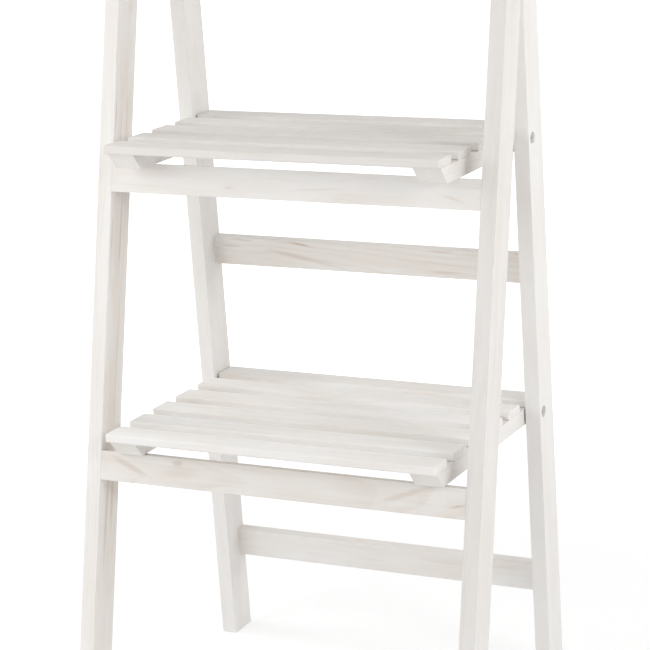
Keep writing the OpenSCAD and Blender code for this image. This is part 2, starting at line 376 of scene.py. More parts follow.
def dark_marks(net, board, x, z, fray, marks):
    """How dark knots, resin streaks and painted shadows make each point; fray makes their edges uneven"""
    dark = 0.0
    for name, places in marks.items():
        here = on_board(net, board, name)
        for (along_at, up_at), (half_length, half_width), slant, strength in places:
            cos, sin = math.cos(math.radians(slant)), math.sin(math.radians(slant))
            along, up = x - along_at, z - up_at
            far_along = (along * cos + up * sin) / half_length
            far_up = (up * cos - along * sin) / half_width
            away = (far_along ** 2 + far_up ** 2) ** 0.5
            dark = dark + here * (1 - net.step(away + fray, 0.15, 1.25)) * strength
    return net.maths("MINIMUM", dark, 0.8)


def whitewashed_wood(name, marks, thinness=0.0, rail_end_tint=0.0):
    """Wood under a thin white wash, which is thin or worn through in places.

    It reads what is written on each board: grain is a point's place in its own board,
    x along it. The others are the board's number and half length, how bare it is, how dull it
    is, partly as painted shade, and how worn the point is. Lengths are in millimetres inside this material."""
    net, surface = material_net(name)
    paint = colours()
    place = net.vector("MULTIPLY", net.attribute("grain", 1), (1 / MM, 1 / MM, 1 / MM))
    board, bare_board, worn = net.attribute("board"), net.attribute("bare"), net.attribute("worn")
    dice = net.node("ShaderNodeTexWhiteNoise", {"noise_dimensions": "1D"}, {"W": board}, out=1)
    turn, reach, tilt = net.split(dice)
    x, y, z = net.split(place)

    # Each board is cut from another stretch of the noise
    stretch = 977
    far = x + board * stretch

    # The fibres run a little out of line with the board, and wander
    slope, wander = 0.09, 14
    wave = net.noise(net.join(far / 150, y / 60, z / 60)) * wander
    side = y + x * (turn - 0.5) * slope + wave
    up = z + x * (tilt - 0.5) * slope + wave * 0.6

    def fibre(along, across, detail=2.0, roughness=0.5):
        """Noise whose grains are about that long and wide, drawn out along the fibres"""
        return net.noise(net.join(far / along, side / across, up / across), detail, roughness)

    # The yearly rings lie round a pith beside the board
    pith = 26 + reach * 70
    pith_y = net.maths("COSINE", turn * math.tau) * pith
    pith_z = net.maths("SINE", turn * math.tau) * pith
    from_pith = ((side - pith_y) ** 2 + (up - pith_z) ** 2) ** 0.5
    rings = from_pith / (sizes().ring_width / MM) + fibre(260, 45) * 2.2
    ring = net.maths("FRACT", rings)
    late = net.step(ring, 0.40, 0.86) * (1 - net.step(ring, 0.92, 1.0))

    # Where the wash is thin, the rings and the fibres show
    thin_here = fibre(95, 11, 3.0, 0.6) + (reach - 0.5) * 0.22 + thinness + bare_board * 0.2
    thin = net.step(thin_here, 0.42, 0.72)
    fine = fibre(26, 0.8, 3.0, 0.65)
    band = net.step(fibre(140, 3.4, 2.0), 0.36, 0.72)
    dash = net.step(fibre(20, 0.9, 1.0), 0.64, 0.76) * net.step(fibre(70, 9), 0.50, 0.62)

    # Edges are rubbed in places, and one leg's corner is worn along most of its length
    rubbed, bared = 0.16, 0.9
    edge = worn * net.step(fibre(22, 30, 3.0), 0.42, 0.60)
    corner = on_board(net, board, WORN_CORNER) * net.step(y, 0, 2) * net.step(-1 * z, 0, 2)
    edge = edge * rubbed + worn * corner * net.step(fibre(30, 40), 0.30, 0.45) * bared

    # How much wood each pattern shows where the wash covers, and how much more where it is thin
    patterns = ((late, 0.04, 0.17), (band, 0.03, 0.13), (dash, 0.10, 0.20), (fine - 0.5, 0.10, 0.16))
    bare = thin * 0.05 + bare_board * 0.14 + edge
    for pattern, covered, thinned in patterns:
        bare = bare + pattern * (covered + thin * thinned)
    # Within a few millimetres of a rail's end, where it meets a leg, more wood shows
    if rail_end_tint:
        from_end = net.attribute("half_length") / MM - net.maths("ABSOLUTE", x)
        bare = bare + (1 - net.step(from_end + (fine - 0.5) * 5, 1.0, 8.0)) * rail_end_tint

    # Even where the wood shows, a veil of wash stays on it
    veil = 0.5
    bare = net.maths("MAXIMUM", bare, 0.0) * (1 - veil)
    dark = dark_marks(net, board, x, z, (fine - 0.5) * 1.7, marks)

    wash = net.blend(net.step(fibre(120, 18, 2.0), 0.35, 0.65), paint.wash, paint.thin_wash)
    # Dull boards take a darker wash: partly their own tone, partly painted shade
    wash = net.blend(net.attribute("dull"), wash, paint.dull_and_shaded_wash)
    colour = net.blend(bare, wash, paint.wood)
    colour = net.blend(dark, colour, paint.dark_wood)

    rough = 0.50 + fine * 0.14 + thin * 0.06 - late * 0.05
    height = fine * 0.5 + band * 0.2 + late * 0.35 - dark * 0.8
    relief = net.relief(0.35, 0.15 * MM, height)
    values = {"Base Color": colour, "Roughness": rough, "Normal": relief, "Specular IOR Level": 0.3}
    return surface(net.node("ShaderNodeBsdfPrincipled", {}, values))


def bare_dowel(name):
    """Unfinished beech, with fine fibres along the dowel"""
    net, surface = material_net(name)
    x, y, z = net.split(net.node("ShaderNodeTexCoord", out=3))
    fine = net.noise(net.join(x * 40, y * 900, z * 900), 3.0)
    colour = net.blend(fine * 0.35, colours().dowel, colours().wood)
    relief = net.relief(0.3, 0.1 * MM, fine)
    values = {"Base Color": colour, "Roughness": 0.7 + fine * 0.1, "Normal": relief}
    return surface(net.node("ShaderNodeBsdfPrincipled", {}, values))


def plated_steel(name, paint, roughness):
    """Zinc plate: faint spangle, fine scratches and duller patches"""
    net, surface = material_net(name)
    place = net.node("ShaderNodeTexCoord", out=3)
    grains = net.vector("MULTIPLY", place, (900, 900, 900))
    spangle = net.node("ShaderNodeTexVoronoi", {}, {"Vector": grains, "Scale": 1.0}, out=1)
    tone = net.split(spangle)[0]
    dull = net.step(net.noise(net.vector("MULTIPLY", place, (260, 260, 260)), 3.0), 0.42, 0.7)
    scratch = net.noise(net.vector("MULTIPLY", place, (300, 2600, 3100)), 2.0)
    bright = getattr(colours(), paint)
    shade = [0.62 * part for part in bright]
    values = {
        "Base Color": net.blend(tone * 0.18 + dull * 0.35, bright, shade),
        "Metallic": 1.0,
        "Roughness": roughness + dull * 0.18 + scratch * 0.06,
        "Normal": net.relief(0.12, 0.05 * MM, scratch),
    }
    return surface(net.node("ShaderNodeBsdfPrincipled", {}, values))


# The finish of each material slot: its name, what makes it and the settings of that
FINISHES = {
    "leg_wood": ("washed_legs", whitewashed_wood, {"marks": LEG_MARKS}),
    "rail_wood": (
        "washed_rails", whitewashed_wood, {"marks": RAIL_MARKS, "thinness": 0.05, "rail_end_tint": 0.04}
    ),
    "slat_wood": ("washed_slats", whitewashed_wood, {"marks": SLAT_SHADOW_MARKS, "thinness": -0.02}),
    "cleat_wood": ("washed_cleats", whitewashed_wood, {"marks": {}, "thinness": -0.02}),
    "dowel_wood": ("bare_dowel", bare_dowel, {}),
    "bolt_steel": ("bright_zinc", plated_steel, {"paint": "zinc", "roughness": 0.26}),
    "screw_steel": ("dull_zinc", plated_steel, {"paint": "screw", "roughness": 0.42}),
}


def finish(slot):
    """The finish of a material slot, made when it is first asked for"""
    name, make, settings = FINISHES[slot]
    return bpy.data.materials.get(name) or make(name, **settings)


# ---- Meshes ----


def new_object(name, mesh):
    made = bpy.data.objects.new(name, mesh)
    bpy.context.scene.collection.objects.link(made)
    return made


def object_from(name, shape):
    """An object from a bmesh, which is used up"""
    mesh = bpy.data.meshes.new(name)
    shape.to_mesh(mesh)
    shape.free()
    return new_object(name, mesh)


def drop(thing):
    """Removes an object and its mesh"""
    mesh = thing.data
    bpy.data.objects.remove(thing)
    bpy.data.meshes.remove(mesh)


def applied(source, name):
    """A plain object with what source looks like after its modifiers; source goes"""
    view = bpy.context.evaluated_depsgraph_get()
    mesh = bpy.data.meshes.new_from_object(source.evaluated_get(view), depsgraph=view)
    drop(source)
    mesh.name = name
    return new_object(name, mesh)


def smoothed(thing):
    """Smooth shading that leaves the broad faces flat and the sharp edges sharp"""
    thing.data.shade_smooth()
    thing.data.set_sharp_from_angle(angle=SHARP_TURN)
    normals = thing.modifiers.new("flat_faces", "WEIGHTED_NORMAL")
    normals.keep_sharp = True
    return applied(thing, thing.name)


def solid_between(shape, first, last):
    """Adds a closed solid between two outlines, given as lists of as many points"""
    ends = [[shape.verts.new(point) for point in outline] for outline in (first, last)]
    shape.faces.new(ends[0])
    shape.faces.new(ends[1])
    for i in range(len(first)):
        j = (i + 1) % len(first)
        shape.faces.new((ends[0][i], ends[0][j], ends[1][j], ends[1][i]))
    bmesh.ops.recalc_face_normals(shape, faces=shape.faces)
    return shape


def extrusion(outline, x_from, x_to):
    """A solid whose outline of (y, z) places runs along X"""
    first, last = ([(x, y, z) for y, z in outline] for x in (x_from, x_to))
    return solid_between(bmesh.new(), first, last)


def prism(shape, outline, low, high, place, taper=1.0):
    """Adds a prism along the Z axis of place; its low end is narrower by taper"""
    first = [place @ Vector((u * taper, v * taper, low)) for u, v in outline]
    last = [place @ Vector((u, v, high)) for u, v in outline]
    return solid_between(shape, first, last)


def ease(shape, radius):
    """Rounds the edges of a solid"""
    edges = [edge for edge in shape.edges if edge.calc_face_angle(0) > ROUNDED_TURN]
    bmesh.ops.bevel(
        shape, geom=edges, offset=radius, offset_type="OFFSET", segments=sizes().edge_steps,
        profile=0.5, affect="EDGES", clamp_overlap=True,
    )
    return shape


def turned(shape, profile, place, steps=32):
    """Adds a solid turned round the Z axis of place, from pairs of height and radius.
    A radius may be a function of the turn"""
    rings = []
    for height, radius in profile:
        if radius == 0:
            rings.append([shape.verts.new(place @ Vector((0, 0, height)))])
            continue
        turns = [math.tau * k / steps for k in range(steps)]
        reaches = [radius(turn) if callable(radius) else radius for turn in turns]
        points = [(r * math.cos(turn), r * math.sin(turn), height) for r, turn in zip(reaches, turns)]
        rings.append([shape.verts.new(place @ Vector(point)) for point in points])
    for low, high in zip(rings, rings[1:]):
        for k in range(steps):
            j = k + 1
            corners = (low[k % len(low)], low[j % len(low)], high[j % len(high)], high[k % len(high)])
            shape.faces.new(list(dict.fromkeys(corners)))
    bmesh.ops.recalc_face_normals(shape, faces=shape.faces)
    return shape


def cut_by(thing, cutter):
    """Takes the cutter's solids out of thing"""
    blade = object_from("cutter", cutter)
    cut = thing.modifiers.new("cut", "BOOLEAN")
    cut.operation, cut.solver, cut.object = "DIFFERENCE", "EXACT", blade
    made = applied(thing, thing.name)
    drop(blade)
    return made


def write(mesh, name, kind, values):
    """Stores a value for every point of a mesh"""
    key = "vector" if kind == "FLOAT_VECTOR" else "value"
    stored = mesh.attributes.get(name) or mesh.attributes.new(name, kind, "POINT")
    stored.data.foreach_set(key, np.ascontiguousarray(values, np.float32).ravel())


def mark_board(thing, to_board, node):
    """Writes what the wood needs to know of one board: each point's place in it, its
    number, its half length and how worn each point is"""
    mesh = thing.data
    count = len(mesh.vertices)
    places, normals = np.empty(count * 3, np.float32), np.empty(count * 3, np.float32)
    mesh.vertices.foreach_get("co", places)
    mesh.vertices.foreach_get("normal", normals)
    turn = np.array(to_board.to_3x3())
    grain = places.reshape(-1, 3) @ turn.T + np.array(to_board.translation)
    # How far each point is in line with a face: 1 on a broad face, less round an edge
    squareness = np.abs(normals.reshape(-1, 3) @ turn.T).max(axis=1)
    unworn, fade = 0.93, 0.2
    write(mesh, "grain", "FLOAT_VECTOR", grain)
    write(mesh, "board", "FLOAT", np.full(count, BOARDS.index(node)))
    write(mesh, "half_length", "FLOAT", np.full(count, np.abs(grain[:, 0]).max()))
    write(mesh, "worn", "FLOAT", np.clip((unworn - squareness) / fade, 0, 1))


def dress(thing, slot, body, nodes):
    """Gives a piece its finish, and ties it to its body, its slot and the nodes it stands for"""
    thing.data.materials.clear()
    thing.data.materials.append(finish(slot))
    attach(thing, body)
    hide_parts(*nodes)


def dress_wood(thing, slot, body, nodes):
    """Dresses a wooden piece, and writes how bare each of its boards is and how dull, partly as painted
    shade
    """
    mesh = thing.data
    boards = np.empty(len(mesh.vertices), np.float32)
    mesh.attributes["board"].data.foreach_get("value", boards)
    for kind, marked in (("bare", BARE_BOARDS), ("dull", DULL_AND_SHADED_BOARDS)):
        amount = np.array([marked.get(name, 0.0) for name in BOARDS])
        write(mesh, kind, "FLOAT", amount[np.rint(boards).astype(int)])
    dress(thing, slot, body, nodes)


def sideways(side, x, y, z):
    """A place at x, y, z whose Z axis points to that side of the stand"""
    return Matrix.Translation((x, y, z)) @ Matrix.Rotation(side * QUARTER_TURN, 4, "Y")


def quarter_circle(steps=24):
    """The turns of a quarter of a circle, from 0"""
    return [QUARTER_TURN * k / steps for k in range(steps + 1)]


# ---- Geometry Nodes ----


class Tool:
    """A Geometry Nodes tree with named inputs, and the means to run it"""

    def __init__(self, name, inputs):
        self.tree = bpy.data.node_groups.new(name, "GeometryNodeTree")
        self.tree.interface.new_socket("Geometry", in_out="OUTPUT", socket_type="NodeSocketGeometry")
        self.keys = {}
        for label, kind in inputs.items():
            made = self.tree.interface.new_socket(label, in_out="INPUT", socket_type="NodeSocket" + kind)
            self.keys[label] = made.identifier
        self.net = Net(self.tree)
        self.entry = self.net.node("NodeGroupInput")

    def get(self, label):
        """The value of an input"""
        return self.net.also(self.entry, label)

    def end(self, geometry):
        """Ends the tree with that geometry, made real and given its material"""
        values = {"Geometry": self.net.node("GeometryNodeRealizeInstances", {}, {0: geometry})}
        values["Material"] = self.get("Material")
        painted = self.net.node("GeometryNodeSetMaterial", {}, values)
        self.net.node("NodeGroupOutput", {}, {0: painted})
        return self

    def run(self, name, **values):
        """A plain mesh object made by the tree"""
        blank = new_object(name + "_blank", bpy.data.meshes.new(name + "_blank"))
        modifier = blank.modifiers.new("make", "NODES")
        modifier.node_group = self.tree
        for label, value in values.items():
            modifier[self.keys[label.replace("_", " ")]] = value
        return applied(blank, name)


@functools.cache
def board_row_tool():
    """A row of equal boards with rounded edges, each lying along X.

    One board is a grid of points: the first index goes along the board, from the
    middle of one end to the middle of the other, and the second goes round it."""
    tool = Tool(
        "board_row",
        {
            "Count": "Int", "Length": "Float", "Width": "Float", "Height": "Float", "Edge": "Float",
            "End": "Float", "Steps": "Int", "First": "Vector", "Step": "Vector", "Turn": "Float",
            "Board": "Int", "Material": "Material",
        },
    )
    net, get = tool.net, tool.get
    steps = get("Steps")
    ring_count = (steps + 2) * 2
    round_count = (steps + 1) * 4
    grid_size = {"Size X": 1.0, "Size Y": 1.0, "Vertices X": ring_count, "Vertices Y": round_count + 1}
    grid = net.node("GeometryNodeMeshGrid", {}, grid_size)
    index = net.node("GeometryNodeInputIndex")
    column = net.maths("FLOORED_MODULO", index, round_count + 1)
    ring = net.maths("FLOOR", (index + 0.5) / (round_count + 1))

    # Along the board: an end's middle, then its rounded rim, then the other end's
    from_end = net.maths("MINIMUM", ring, ring_count - 1 - ring)
    side = net.maths("SIGN", ring - ring_count / 2 + 0.5)
    capped = net.maths("MINIMUM", from_end, 1.0)
    bend = net.maths("MAXIMUM", (from_end - 1) / steps, 0.0) * QUARTER_TURN
    along = side * (get("Length") / 2 - get("End") * (1 - net.maths("COSINE", bend)))
    radius = get("Edge") * net.maths("SINE", bend)

    # Round the board: a quarter of a circle at each corner
    lap = net.maths("FLOORED_MODULO", column, round_count)
    corner = net.maths("FLOOR", (lap + 0.5) / (steps + 1))
    part = lap - corner * (steps + 1)
    angle = (corner + part / steps) * QUARTER_TURN
    middle_angle = (corner + 0.5) * QUARTER_TURN
    side_y = net.maths("SIGN", net.maths("COSINE", middle_angle))
    side_z = net.maths("SIGN", net.maths("SINE", middle_angle))
    across = capped * (side_y * (get("Width") / 2 - get("Edge")) + radius * net.maths("COSINE", angle))
    up = capped * (side_z * (get("Height") / 2 - get("Edge")) + radius * net.maths("SINE", angle))
    place = net.join(along, across, up)
    worn = net.maths("SINE", part / steps * math.pi)

    shaped = net.node("GeometryNodeSetPosition", {}, {"Geometry": grid, "Position": place})
    shaped = net.store(shaped, "grain", place, kind="FLOAT_VECTOR")
    shaped = net.store(shaped, "worn", worn * capped)
    shaped = net.store(shaped, "half_length", get("Length") / 2)
    shaped = net.node("GeometryNodeMergeByDistance", {}, {"Geometry": shaped, "Distance": 2e-6})
    row = net.node(
        "GeometryNodeMeshLine", {"mode": "OFFSET"},
        {"Count": get("Count"), "Start Location": get("First"), "Offset": get("Step")},
    )
    placed = net.node(
        "GeometryNodeInstanceOnPoints", {},
        {"Points": row, "Instance": shaped, "Rotation": net.join(get("Turn"), 0.0, 0.0)},
    )
    number = net.node("GeometryNodeInputIndex") + get("Board")
    return tool.end(net.store(placed, "board", number, domain="INSTANCE"))


@functools.cache
def fastener_rows_tool():
    """Rows of one fastener, each turned about its own axis by chance. None stands less
    than Least from where its row starts"""
    tool = Tool(
        "fastener_rows",
        {
            "Fastener": "Object", "Count": "Int", "Rows": "Int", "First": "Vector", "Step": "Float",
            "Least": "Float", "Row step": "Vector", "Turn": "Vector", "Row turn": "Float",
            "Seed": "Int", "Material": "Material",
        },
    )
    net, get = tool.net, tool.get
    points = net.node("GeometryNodeMeshLine", {"mode": "OFFSET"}, {"Count": get("Count") * get("Rows")})
    index = net.node("GeometryNodeInputIndex")
    row = net.maths("FLOOR", (index + 0.5) / get("Count"))
    in_row = index - row * get("Count")
    along = net.maths("MAXIMUM", in_row * get("Step"), get("Least"))
    scale = {"Vector": get("Row step"), "Scale": row}
    aside = net.node("ShaderNodeVectorMath", {"operation": "SCALE"}, scale)
    place = net.vector("ADD", net.vector("ADD", get("First"), aside), net.join(0.0, along, 0.0))
    points = net.node("GeometryNodeSetPosition", {}, {"Geometry": points, "Position": place})

    # Sockets 2 and 3 are the least and the most of a random number
    random = {"ID": index, "Seed": get("Seed"), 2: 0.0, 3: math.tau}
    spin = net.node("FunctionNodeRandomValue", {"data_type": "FLOAT"}, random, out=1)
    spun = net.node("FunctionNodeEulerToRotation", {}, {0: net.join(0.0, 0.0, spin)})
    aim = net.vector("ADD", get("Turn"), net.join(0.0, 0.0, row * get("Row turn")))
    aimed = net.node("FunctionNodeEulerToRotation", {}, {0: aim})
    facing = net.node("FunctionNodeRotateRotation", {"rotation_space": "LOCAL"}, {0: aimed, 1: spun})
    info = net.node("GeometryNodeObjectInfo", {"transform_space": "ORIGINAL"}, {"Object": get("Fastener")})
    values = {"Points": points, "Instance": net.also(info, "Geometry"), "Rotation": facing}
    return tool.end(net.node("GeometryNodeInstanceOnPoints", {}, values))


def board_row(name, nodes, size, turn, slot, body, edge, end=0.0):
    """A row of boards as one dressed piece. Size is a board's length, width and height;
    turn is its lean, edge the rounding of its long edges and end that of its ends"""
    first = middle(nodes[0])
    step = middle(nodes[1]) - first if len(nodes) > 1 else Vector()
    row = board_row_tool().run(
        name, Count=len(nodes), Length=size[0], Width=size[1], Height=size[2], Edge=edge, End=end,
        Steps=sizes().edge_steps, First=first, Step=step, Turn=turn, Board=BOARDS.index(nodes[0]),
        Material=finish(slot),
    )
    dress_wood(smoothed(row), slot, body, nodes)


def fastener_rows(name, source, body, node, **places):
    """Rows of copies of a screw, which is used up, as one dressed piece"""
    rows = fastener_rows_tool().run(name, Fastener=source, Material=finish("screw_steel"), **places)
    drop(source)
    dress(rows, "screw_steel", body, [node])


# ---- Fasteners ----


def dome(radius, height, base, steps=10):
    """Heights and radii of a dome that stands on base, from its edge to its middle"""
    ball = (radius * radius + height * height) / (2 * height)
    reach = math.asin(min(1, radius / ball))
    turns = [reach * (1 - k / steps) for k in range(steps)]
    arc = [(base + height - ball * (1 - math.cos(turn)), ball * math.sin(turn)) for turn in turns]
    return arc + [(base + height, 0)]


def hexagon(across_corners):
    reach = across_corners / 2
    return [(reach * math.cos(k * math.pi / 3), reach * math.sin(k * math.pi / 3)) for k in range(6)]


def cross_recess(arm, width, face, depth, taper):
    """What makes the cross recess in a screw's head, whose face is at that height"""
    a, w = arm / 2, width / 2
    outline = [(a, -w), (a, w), (w, w), (w, a), (-w, a), (-w, w)]
    outline += [(-u, -v) for u, v in outline]
    return prism(bmesh.new(), outline, face - depth, face + 0.5 * MM, Matrix(), taper)


def slat_screw_source(length):
    """A flat-headed screw on Z, its head's face at 0 and its point down the axis"""
    head, shank = sizes().slat_screw_head / 2, sizes().slat_screw / 2
    bevel, rim, cone = 0.15 * MM, 0.45 * MM, 1.6 * MM
    profile = [(0, 0), (0, head - bevel), (-bevel, head), (-rim, head), (-cone, shank)]
    profile += [(-length, shank), (-length, 0)]
    thing = object_from("slat_screw", turned(bmesh.new(), profile, Matrix(), steps=24))
    recess = cross_recess(arm=3.0 * MM, width=0.75 * MM, face=0.0, depth=1.1 * MM, taper=0.45)
    return smoothed(cut_by(thing, recess))


def pivot_screw_source(length, head_across, head_height):
    """A pan-headed screw on Z, the flat under its head at 0"""
    head, shank = head_across / 2, sizes().pivot_screw / 2
    point, bevel, rim = 0.4 * MM, 0.1 * MM, 0.5 * MM
    profile = [(-length, 0), (-length, shank - point), (-length + point, shank), (0, shank)]
    profile += [(0, head - bevel)] + dome(head, head_height - rim, rim)
    thing = object_from("pivot_screw", turned(bmesh.new(), profile, Matrix(), steps=40))
    recess = cross_recess(arm=4.4 * MM, width=0.95 * MM, face=head_height, depth=1.5 * MM, taper=0.5)
    return smoothed(cut_by(thing, recess))


def cap_nut(across, hexagon_length, length):
    """Depths and radii of a cap nut: a hexagon with its corners turned down, and a dome"""
    half_side = math.pi / 6
    flat = across / 2 * math.cos(half_side)
    chamfer, dome_share = 0.45 * MM, 0.84

    def sides(limit):
        """The hexagon's radius as a function of the turn, cut back to limit"""
        def radius(turn):
            from_corner = abs((turn + half_side) % (2 * half_side) - half_side)
            return min(flat / math.cos(half_side - from_corner), limit)
        return radius

    whole, end = sides(across), sides(flat + 0.1 * MM)
    profile = [(0, 0), (0, end), (chamfer, whole), (hexagon_length - chamfer, whole), (hexagon_length, end)]
    return profile + dome(across * dome_share / 2, length - hexagon_length, hexagon_length)


# ---- Boards ----


def leaning(turn):
    """From a ladder frame's own axes, with Z up its legs, to the stand"""
    return Matrix.Translation(PIVOT) @ Matrix.Rotation(turn, 4, "X")


def drill(shape, radius, depth, place):
    """Adds what is cut out for a hole of that depth down the Z axis of place"""
    out = LEG_THICKNESS
    return turned(shape, [(-depth, 0), (-depth, radius), (out, radius), (out, 0)], place)


def make_leg(ladder, word, turn, head, holes):
    """Makes a leg that leans by turn and stands level on the floor. Head is the outline of
    its upper end from the rear face to the front one, and holes is what is cut out"""
    node = f"{ladder}_leg_{word}"
    low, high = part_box(node)
    half = sizes().leg_depth / 2
    foot = [(y, (-PIVOT.z - y * math.sin(turn)) / math.cos(turn)) for y in (-half, half)]
    shape = ease(extrusion(foot + head, low.x, high.x), sizes().edge_radius)
    shape.transform(leaning(turn))
    thing = smoothed(cut_by(object_from(f"leg_{ladder}_{word}", shape), holes))

    # A board's own x runs up the leg
    up_the_leg = Matrix(((0, 0, 1, 0), (1, 0, 0, 0), (0, 1, 0, 0), (0, 0, 0, 1)))
    origin = Matrix.Translation(((low.x + high.x) / 2, PIVOT.y, PIVOT.z))
    mark_board(thing, up_the_leg @ (origin @ Matrix.Rotation(turn, 4, "X")).inverted(), node)
    dress_wood(thing, "leg_wood", ladder + "_frame", [node])


def unleaned(node, turn):
    """The length, depth and height of a board that leans by turn, from its upright box"""
    box = spread(node)
    cos, sin = math.cos(turn), abs(math.sin(turn))
    square = cos * cos - sin * sin
    return box.x, (box.y * cos - box.z * sin) / square, (box.z * cos - box.y * sin) / square


def screw_places(shelf):
    """Where a shelf's slat screws stand, from front to back: under the middle of each
    slat, but the first one clear of the cleat's slope"""
    places = [middle(node).y for node in slat_nodes(shelf)]
    places[0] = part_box(shelf + "_slat_screws")[0].y + sizes().slat_screw_head / 2
    return places


# ---- Operators: one for each kind of piece ----


class MakeFrontLegs(bpy.types.Operator):
    """Makes the two legs of the front frame"""

    bl_idname = "plant_stand.front_legs"
    bl_label = "Front Legs"

    def execute(self, context):
        half = sizes().leg_depth / 2
        for word in SIDES:
            node = "front_leg_" + word
            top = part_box(node)[1].z - PIVOT.z
            head = (top + half * math.sin(FRONT_TURN)) / math.cos(FRONT_TURN)
            place = leaning(FRONT_TURN) @ sideways(1, middle(node).x, 0, 0)
            hole = drill(bmesh.new(), sizes().pivot_bolt / 2, LEG_THICKNESS, place)
            make_leg("front", word, FRONT_TURN, [(half, head), (-half, head)], hole)
        return {"FINISHED"}


class MakeRearLegs(bpy.types.Operator):
    """Makes the two legs of the rear frame, with the recesses of the shelf pivots"""

    bl_idname = "plant_stand.rear_legs"
    bl_label = "Rear Legs"

    clearance: size_setting("Clearance", 0.05, "Room round a bolt or screw in its hole")
    rim_width: size_setting("Rim width", 0.4, "Width of the bevel round a recess")
    rim_depth: size_setting("Rim depth", 0.5, "Depth of the bevel round a recess")

    def execute(self, context):
        half = sizes().leg_depth / 2
        head = [(half, half)]
        head += [(-half * math.sin(turn), half * math.cos(turn)) for turn in quarter_circle()]
        for word, side in SIDES.items():
            low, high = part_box("rear_leg_" + word)
            outer = high.x if side > 0 else low.x
            bolt = sizes().pivot_bolt / 2 + self.clearance
            holes = drill(bmesh.new(), bolt, 2 * LEG_THICKNESS, sideways(side, outer, PIVOT.y, PIVOT.z))
            for shelf in SHELVES:
                pin = JOINTS[shelf + "_shelf_fold"]["pos_m"]
                turned(holes, self.recess(), sideways(side, outer, pin[1], pin[2]), steps=48)
            make_leg("rear", word, REAR_TURN, head, holes)
        return {"FINISHED"}

    def recess(self):
        """Heights and radii of a shelf pivot's hole, its recess and what opens it outwards"""
        screw, wide = sizes().pivot_screw / 2 + self.clearance, sizes().recess_across / 2
        inside, floor, out = -2 * LEG_THICKNESS, -sizes().recess_depth, LEG_THICKNESS
        rim = wide + self.rim_width
        profile = [(inside, 0), (inside, screw), (floor, screw), (floor, wide)]
        return profile + [(-self.rim_depth, wide), (0, rim), (out, rim + out), (out, 0)]


class MakeRails(bpy.types.Operator):
    """Makes the three rails of each frame"""

    bl_idname = "plant_stand.rails"
    bl_label = "Rails"

    def execute(self, context):
        for ladder, turn in (("front", FRONT_TURN), ("rear", REAR_TURN)):
            nodes = [f"{shelf}_{ladder}_rail" for shelf in SHELVES]
            board_row(
                "rails_" + ladder, nodes, unleaned(nodes[0], turn), turn, "rail_wood", ladder + "_frame",
                sizes().edge_radius,
            )
        return {"FINISHED"}


class MakeTopBoard(bpy.types.Operator):
    """Makes the board between the tops of the front legs"""

    bl_idname = "plant_stand.top_board"
    bl_label = "Top Board"

    def execute(self, context):
        length, _, thickness = unleaned("top_board", FRONT_TURN)
        size = (length, sizes().leg_depth, thickness)
        board_row(
            "board_on_top", ["top_board"], size, FRONT_TURN, "rail_wood", "front_frame", sizes().edge_radius
        )
        return {"FINISHED"}


class MakeSlats(bpy.types.Operator):
    """Makes the slats of the three shelves"""

    bl_idname = "plant_stand.slats"
    bl_label = "Slats"

    def execute(self, context):
        for shelf in SHELVES:
            nodes = slat_nodes(shelf)
            board_row(
                "slats_" + shelf, nodes, spread(nodes[0]), 0.0, "slat_wood", shelf + "_shelf",
                sizes().slat_edge_radius, sizes().slat_end_radius,
            )
        return {"FINISHED"}


class MakeCleats(bpy.types.Operator):
    """Makes the two cleats under each shelf, with the holes of their screws"""

    bl_idname = "plant_stand.cleats"
    bl_label = "Cleats"

    slope: size_setting("Slope", 14, "How far the sloping end runs back")
    clearance: size_setting("Clearance", 0.1, "Room round a screw's head in its hole")
    straight_depth: size_setting("Straight depth", 0.5, "How deep a hole goes before it narrows")
    cone_depth: size_setting("Cone depth", 1.7, "How deep a hole is where it meets the shank")

    def execute(self, context):
        head, shank = sizes().slat_screw_head / 2 + self.clearance, sizes().slat_screw / 2
        hole = [(-MM, 0), (-MM, head), (self.straight_depth, head)]
        hole += [(self.cone_depth, shank), (self.cone_depth, 0)]
        swap = Matrix(((0, 1, 0, 0), (1, 0, 0, 0), (0, 0, 1, 0), (0, 0, 0, 1)))
        for shelf in SHELVES:
            for word in SIDES:
                node = f"{shelf}_cleat_{word}"
                low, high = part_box(node)
                centre = middle(node)
                outline = [(low.y, high.z), (low.y + self.slope, low.z), (high.y, low.z), (high.y, high.z)]
                shape = ease(extrusion(outline, low.x, high.x), sizes().edge_radius)
                holes = bmesh.new()
                for place in screw_places(shelf):
                    turned(holes, hole, Matrix.Translation((centre.x, place, low.z)))
                thing = smoothed(cut_by(object_from(f"cleat_{shelf}_{word}", shape), holes))
                mark_board(thing, swap @ Matrix.Translation(-centre), node)
                dress_wood(thing, "cleat_wood", shelf + "_shelf", [node])
        return {"FINISHED"}


class MakeSlatScrews(bpy.types.Operator):
    """Makes the screws that hold the slats from under the cleats"""

    bl_idname = "plant_stand.slat_screws"
    bl_label = "Slat Screws"

    sunk: size_setting("Sunk", 0.1, "How far a screw's face lies inside the frame's own")

    def execute(self, context):
        for seed, shelf in enumerate(SHELVES):
            node = shelf + "_slat_screws"
            low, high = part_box(node)
            left, right = middle(shelf + "_cleat_left"), middle(shelf + "_cleat_right")
            places = screw_places(shelf)
            under_first = middle(shelf + "_slat_1").y
            source = slat_screw_source(high.z - low.z - self.sunk)
            fastener_rows(
                "screws_slats_" + shelf, source, shelf + "_shelf", node,
                Count=len(places), Rows=2, First=(left.x, under_first, low.z + self.sunk),
                Step=places[2] - places[1], Least=places[0] - under_first,
                Row_step=(right.x - left.x, 0, 0), Turn=(math.pi, 0, 0), Row_turn=0.0, Seed=seed,
            )
        return {"FINISHED"}


